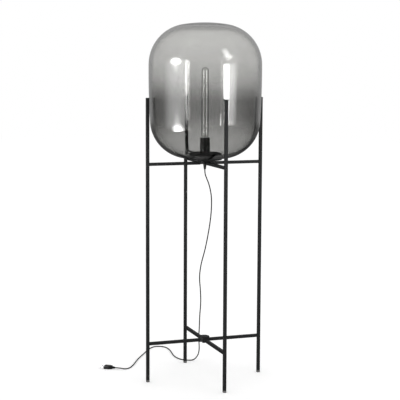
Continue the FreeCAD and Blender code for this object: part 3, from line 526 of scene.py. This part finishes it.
def turned(name, section, steps, crease, weld=0.000002):
    bpy.ops.object.select_all(action="DESELECT")
    bpy.ops.mesh.primitive_plane_add(size=mm, location=(0, 0, 0))
    piece = bpy.context.object
    piece.name = piece.data.name = name
    bpy.ops.object.mode_set(mode="EDIT")
    bpy.ops.mesh.merge(type="CENTER")
    radius, height = section[0]
    bpy.ops.transform.translate(value=(radius, 0, height))
    for (r0, z0), (r1, z1) in zip(section, section[1:]):
        bpy.ops.mesh.extrude_region_move(TRANSFORM_OT_translate={"value": (r1 - r0, 0, z1 - z0)})
    bpy.ops.mesh.select_all(action="SELECT")
    bpy.ops.mesh.spin(steps=steps, angle=2 * math.pi, center=(0, 0, 0), axis=(0, 0, 1))
    bpy.ops.mesh.select_all(action="SELECT")
    bpy.ops.mesh.remove_doubles(threshold=weld)
    bpy.ops.mesh.normals_make_consistent(inside=False)
    bpy.ops.object.mode_set(mode="OBJECT")
    bpy.ops.object.shade_smooth_by_angle(angle=math.radians(crease))
    return piece


def arcPoints(centre, radius, start, end, step):
    count = max(2, math.ceil(abs(end - start) * radius / step))
    angles = [start + (end - start) * i / count for i in range(count + 1)]
    return [(centre[0] + radius * math.cos(a), centre[1] + radius * math.sin(a)) for a in angles]


# Glass shade: each surface is a row of five arcs that run into each other

shade = {
    "rimLevel": 0.8752, "diameter": 0.439, "height": 0.5248, "wall": 0.010, "widest": 0.3278,
    "opening": 0.126, "rim": 0.003, "innerRim": 0.0012, "lip": 0.0008,
    "sideArc": 3.400, "topArc": 0.530, "bottomArc": 1.000, "upperArc": 0.157, "lowerArc": 0.150,
    "step": 0.006, "turns": 176, "crease": 60,
}


def shadeRow(size, inset, startRadius):  # one surface of the glass, from the opening to the top
    def shoulder(end, endArc, arc):      # centre of the arc that joins the side to an end
        first, second = endArc - arc, size["sideArc"] - arc
        between = side - end
        along = (first ** 2 - second ** 2 + between.length ** 2) / (2 * between.length)
        line = between.normalized()
        across = math.sqrt(first ** 2 - along ** 2)
        foot, turn = end + line * along, Vector((-line.y, line.x)) * across
        return max(foot + turn, foot - turn, key=lambda point: point.x)

    rim = size["opening"] / 2 + size["rim"]
    bottom = Vector((0, size["rimLevel"] + math.sqrt(size["bottomArc"] ** 2 - rim ** 2)))
    side = Vector((size["diameter"] / 2 - size["sideArc"], size["rimLevel"] + size["widest"]))
    top = Vector((0, size["rimLevel"] + size["height"] - size["topArc"]))
    lower = shoulder(bottom, size["bottomArc"], size["lowerArc"])
    upper = shoulder(top, size["topArc"], size["upperArc"])
    arcs = [(bottom, size["bottomArc"]), (lower, size["lowerArc"]), (side, size["sideArc"]),
            (upper, size["upperArc"]), (top, size["topArc"])]
    joins = []                           # the angle at which one arc runs into the next
    for (c0, r0), (c1, r1) in zip(arcs, arcs[1:]):
        away = (c0 - c1) if r0 < r1 else (c1 - c0)
        joins.append(math.atan2(away.y, away.x))
    start = -math.acos(startRadius / (size["bottomArc"] - inset))
    ends = [start, *joins, math.pi / 2]
    points = []
    for (centre, radius), a, b in zip(arcs, ends, ends[1:]):
        row = arcPoints(centre, radius - inset, a, b, size["step"])
        points += row if not points else row[1:]
    points[-1] = (0, points[-1][1])      # exactly on the axis
    return points


def makeShade(size, finishes):
    hole, level = size["opening"] / 2, size["rimLevel"]
    outer = shadeRow(size, 0, hole + size["rim"])
    inner = shadeRow(size, size["wall"], hole + size["innerRim"])
    mouth = [(hole + size["lip"], level), (hole, level + size["lip"]), (hole, inner[0][1] - size["innerRim"])]
    piece = turned("glassShade", outer[::-1] + mouth + inner, size["turns"], size["crease"])
    paint(piece, finishes["smoked_glass"])
    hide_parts("glass_shade")
    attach(piece, "shade")
    print("shade made:", len(piece.data.polygons), "faces")


# Glass tube of the bulb, open at its neck

bulbGlass = {
    "foot": 0.9280, "length": 0.300, "radius": 0.014, "neck": 0.0117, "wall": 0.0009,
    "neckEnd": 0.017, "collar": 0.0285, "shoulder": 0.037,      # heights above the foot
    "shoulderRows": 8, "sideRows": 12, "step": 0.0012, "turns": 64, "crease": 60,
}


def bulbRow(size, inset):                # one surface of the tube, from the neck to the dome
    foot, radius, neck = size["foot"], size["radius"], size["neck"]
    collar, base, dome = foot + size["collar"], foot + size["shoulder"], foot + size["length"] - radius
    rise = size["shoulder"] - size["collar"]
    points = [(neck - inset, foot + size["neckEnd"]), (neck - inset, collar)]
    for i in range(1, size["shoulderRows"] + 1):
        share = i / size["shoulderRows"]
        eased = share * share * (3 - 2 * share)
        points.append((neck + (radius - neck) * eased - inset, collar + rise * share))
    rows = size["sideRows"]
    points += [(radius - inset, base + (dome - base) * i / rows) for i in range(1, rows)]
    points += arcPoints((0, dome), radius - inset, 0, math.pi / 2, size["step"])
    points[-1] = (0, points[-1][1])      # exactly on the axis
    return points


def makeBulbGlass(size, finishes):
    section = bulbRow(size, 0)[::-1] + bulbRow(size, size["wall"])
    piece = turned("bulbGlass", section, size["turns"], size["crease"])
    paint(piece, finishes["bulb_clear_glass"])
    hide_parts("bulb_envelope")
    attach(piece, "bulb")
    print("bulb glass made:", len(piece.data.polygons), "faces")


# Cord, on the same points as the CAD route

cordFacts = {"diameter": 0.0046, "length": 1.65, "exit": (0, 0, 0.832), "smoothness": 12, "roundness": 6}
cordRoute = [            # in millimetres
    (0, 0, 832), (0, 0, 816), (6, -3, 798), (17, -5, 771), (27, -4, 727), (30, 3, 676), (28, 13, 620),
    (24, 28, 563), (18, 45, 503), (9, 66, 445), (9, 86, 388), (21, 104, 331), (31, 127, 273),
    (35, 152, 216), (43, 178, 161), (49, 203, 112), (57, 220, 78), (62, 232, 50), (61, 244, 24),
    (46, 252, 2.4), (17, 257, 2.4), (-4, 280, 2.4), (-13, 318, 2.4), (-11, 363, 2.4), (-3, 408, 2.4),
    (3, 456, 2.4), (2, 492, 2.4), (-10, 518, 2.4), (-36, 529, 2.4), (-62, 514, 2.4), (-92, 473, 2.4),
    (-126, 417, 2.4), (-161, 364, 2.4), (-190, 312, 2.4), (-208, 275, 2.4), (-227, 243, 2.4),
    (-243, 218, 2.4), (-266, 204, 2.4), (-288, 210, 6.8), (-305, 223, 6.8),
]


def makeCord(facts, finishes):
    curve = bpy.data.curves.new("cordLine", "CURVE")
    curve.dimensions = "3D"
    curve.resolution_u = facts["smoothness"]
    curve.bevel_depth = facts["diameter"] / 2
    curve.bevel_resolution = facts["roundness"]
    spline = curve.splines.new("NURBS")
    spline.points.add(len(cordRoute) - 1)
    for point, place in zip(spline.points, cordRoute):
        point.co = (*(Vector(place) * mm), 1)
    spline.order_u = 3
    spline.use_endpoint_u = True
    cord = bpy.data.objects.new("mainsCord", curve)
    bpy.context.scene.collection.objects.link(cord)
    curve.materials.append(finishes["cord_black"])
    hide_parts("cord")
    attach(cord, "root")
    print("cord laid")


# Ribbed sleeve where the cord runs into its plug

plugSleeve = {
    "length": 0.012, "tip": 0.0055, "lip": 0.0075, "lipLength": 0.001, "body": 0.0104,
    "ribs": 5, "groove": 0.0007, "turns": 40, "crease": 35,
    "rib": [(0.35, 0), (0.50, 1), (0.80, 1), (0.95, 0)],     # shares of the pitch and of the groove's depth
}


def makePlugSleeve(size, finishes):
    length, lip, lipLength = size["length"], size["lip"], size["lipLength"]
    pitch = (length - lipLength) / size["ribs"]
    section = [(0, 0), (size["tip"] / 2, 0), (lip / 2, lipLength)]
    for rib in range(size["ribs"]):
        for share, depth in size["rib"]:
            level = lipLength + pitch * rib + pitch * share
            full = lip + (size["body"] - lip) * (level - lipLength) / (length - lipLength)
            section.append((full / 2 - size["groove"] * depth, level))
    section += [(size["body"] / 2, length), (0, length)]
    piece = turned("ribbedSleeve", section[::-1], size["turns"], size["crease"])
    before, end = (Vector(place) for place in cordRoute[-2:])
    piece.rotation_mode = "QUATERNION"
    piece.rotation_quaternion = (end - before).to_track_quat("Z", "Y")       # in line with the cord's end
    piece.location = end * mm
    bpy.ops.object.transform_apply(location=True, rotation=True, scale=True)
    paint(piece, finishes["cord_black"])
    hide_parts("plug_sleeve")
    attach(piece, "root")
    print("plug sleeve made:", len(piece.data.polygons), "faces")
    return piece


# Floor, sky and lights. In reflections the room is dark, but for a pale backdrop behind the lamp

studio = {
    "sky": 1.0, "aim": (0, 0, 1.13),
    "darkRoom": 0.07, "backdrop": 0.36, "backdropRise": 1.6, "backdropStart": 0.1,
    "floorSize": 400, "floorTone": 0.90, "floorFleck": (3, 4, 0.6), "fleckTone": 0.985, "floorRoughness": 0.9,
    "floorGlow": 0.19, "floorReach": 14, "floorNear": 0.15,
}
# at is azimuth, elevation and distance; fall is the powers of the fall-off across, upwards and over all
softLights = {
    "tallSoftbox": {"at": (22, -2.6, 2.9), "size": (0.72, 0.94), "brightness": 15, "fall": (5, 4, 1)},
    "wideSoftbox": {"at": (31.5, -3.5, 3.1), "size": (1.80, 1.25), "brightness": 6.0, "fall": (2, 2, 1.6)},
    "upperSoftbox": {"at": (26, 32, 2.9), "size": (0.72, 1.25), "brightness": 6.5, "fall": (2, 2, 1)},
    "lowerSoftbox": {"at": (11.5, -11, 2.9), "size": (0.14, 0.30), "brightness": 9, "fall": (4, 2, 1)},
    "stripLight": {"at": (-57, 3, 2.9), "size": (0.17, 1.60), "brightness": 9, "fall": (2, 2, 1)},
    "leftPanel": {"at": (-81, -4, 2.6), "size": (3.20, 2.60), "brightness": 3.0, "fall": (2, 2, 2)},
    "roundLightHigh": {"at": (-79.5, 10.8, 2.4), "size": (1.45, 0.95), "brightness": 40, "fall": (2, 2, 3)},
    "roundLightLow": {"at": (-77.5, -23.5, 2.4), "size": (1.50, 1.60), "brightness": 34, "fall": (2, 2, 3)},
}
roundLights = ("roundLightHigh", "roundLightLow")      # these show as ellipses, the others as rectangles


def mirroredRays(nodes):     # 1 for what is seen in a reflection, 0 for anything else
    return nodes.function("MINIMUM", nodes.amount(nodes.node("ShaderNodeLightPath"), "Glossy Depth"), 1.0)


def roomBehind(nodes, room, behind):     # the mirrored room's brightness; behind is 1 right behind the lamp
    pale = nodes.function("MAXIMUM", behind * room["backdropRise"] + room["backdropStart"], 0.0)
    return nodes.function("MINIMUM", pale, 1.0) * room["backdrop"] + room["darkRoom"]


def behindLamp(x, y):        # how far a place lies behind the lamp, as the camera looks
    return y * math.cos(photoCamera["azimuth"]) - x * math.sin(photoCamera["azimuth"])


def makeFloor(room):
    bpy.ops.object.select_all(action="DESELECT")
    bpy.ops.mesh.primitive_plane_add(size=room["floorSize"], location=(0, 0, 0))
    floor = bpy.context.object
    floor.name = floor.data.name = "studioFloor"
    paper = Recipe("floorPaper")
    mirrored = mirroredRays(paper)
    distance = paper.node("ShaderNodeVectorMath", {"operation": "LENGTH"}, {"Vector": paper.place})
    reach = paper.amount(distance, "Value")
    far = paper.function("MINIMUM", reach * (1 / room["floorReach"]), 1.0)     # far off it runs into the sky
    fleck = paper.noise(room["floorFleck"])
    colour = paper.mixed(fleck, grey(room["floorTone"] * room["fleckTone"]), grey(room["floorTone"]))
    colour = paper.mixed(paper.function("MAXIMUM", far, mirrored), colour, grey(0.0))
    behind = paper.function("DIVIDE", behindLamp(paper.along("X"), paper.along("Y")), reach + mm)
    near = room["floorNear"]             # near the lamp the mirrored floor is darker than the room
    mirroredGlow = roomBehind(paper, room, behind) * (far * far * (1 - near) + near)
    seenGlow = paper.mixed(far, grey(room["floorGlow"]), grey(room["sky"]))
    paper.feed(paper.shader.inputs["Emission Color"], paper.mixed(mirrored, seenGlow, mirroredGlow))
    paper.feed(paper.shader.inputs["Emission Strength"], 1.0)
    paint(floor, paper.finish(colour=colour, roughness=room["floorRoughness"], specular=0.0))
    print("floor laid")


def makeSky(room):           # white all round, but for what is mirrored
    world = bpy.data.worlds.new("studioSky")
    bpy.context.scene.world = world
    nodes = Nodes(world)
    mirrored = mirroredRays(nodes)
    compass = nodes.node("ShaderNodeTexCoord").outputs["Generated"]
    compass = nodes.node("ShaderNodeSeparateXYZ", None, {"Vector": compass})
    behind = behindLamp(nodes.amount(compass, "X"), nodes.amount(compass, "Y"))
    background = nodes.tree.nodes["Background"]
    nodes.feed(background.inputs["Color"], grey(1.0))
    brightness = mirrored * (roomBehind(nodes, room, behind) - room["sky"]) + room["sky"]
    nodes.feed(background.inputs["Strength"], brightness)
    print("sky made")


def softLight(room, name, panel):
    azimuth, elevation = math.radians(panel["at"][0]), math.radians(panel["at"][1])
    width, height = panel["size"]
    flat = math.cos(elevation)
    away = Vector((math.sin(azimuth) * flat, -math.cos(azimuth) * flat, math.sin(elevation)))
    bpy.ops.object.light_add(type="AREA", location=Vector(room["aim"]) + away * panel["at"][2])
    light = bpy.context.object
    light.name = light.data.name = name
    light.data.shape = "RECTANGLE"
    light.data.size, light.data.size_y = width, height
    light.data.energy = math.pi * width * height                  # the node's strength is then the brightness
    light.visible_diffuse = False        # it shows in gloss and glass only, so that the floor stays even
    light.rotation_mode = "QUATERNION"
    light.rotation_quaternion = away.to_track_quat("Z", "Y")
    nodes = Nodes(light.data)            # bright in the middle, fading to its edges
    spread = nodes.node("ShaderNodeNewGeometry").outputs["Parametric"]
    spread = nodes.node("ShaderNodeSeparateXYZ", None, {"Vector": spread})
    across = nodes.function("ABSOLUTE", nodes.amount(spread, "X") * 2 - 1)
    upward = nodes.function("ABSOLUTE", nodes.amount(spread, "Y") * 2 - 1)
    sideways, upwards, overall = panel["fall"]
    if name in roundLights:
        fade = 1 - nodes.function("MINIMUM", across ** sideways + upward ** upwards, 1.0)
    else:
        fade = (1 - across ** sideways) * (1 - upward ** upwards)
    rays = nodes.node("ShaderNodeLightPath")                      # it isn't seen straight through the glass
    through = nodes.function("MINIMUM", nodes.amount(rays, "Transmission Depth"), 1.0)
    hidden = through * (1 - nodes.function("MINIMUM", nodes.amount(rays, "Glossy Depth"), 1.0))
    strength = fade ** overall * panel["brightness"] * (1 - hidden)
    nodes.feed(nodes.tree.nodes["Emission"].inputs["Strength"], strength)


makeCamera(photoCamera)
finishes = makeFinishes()
sleeve = makePlugSleeve(plugSleeve, finishes)
makeCord(cordFacts, finishes)
ownFinishes = {"bulb_cap": rubbedMetalFinish("nickelCap", nickelCap), "plug_pins": plugPinFinish(plugPin)}
dressNodes(finishes, ownFinishes)
makeShade(shade, finishes)
makeBulbGlass(bulbGlass, finishes)
makeFloor(studio)
makeSky(studio)
for name, panel in softLights.items():
    softLight(studio, name, panel)
print("studio lit:", len(softLights), "lights")
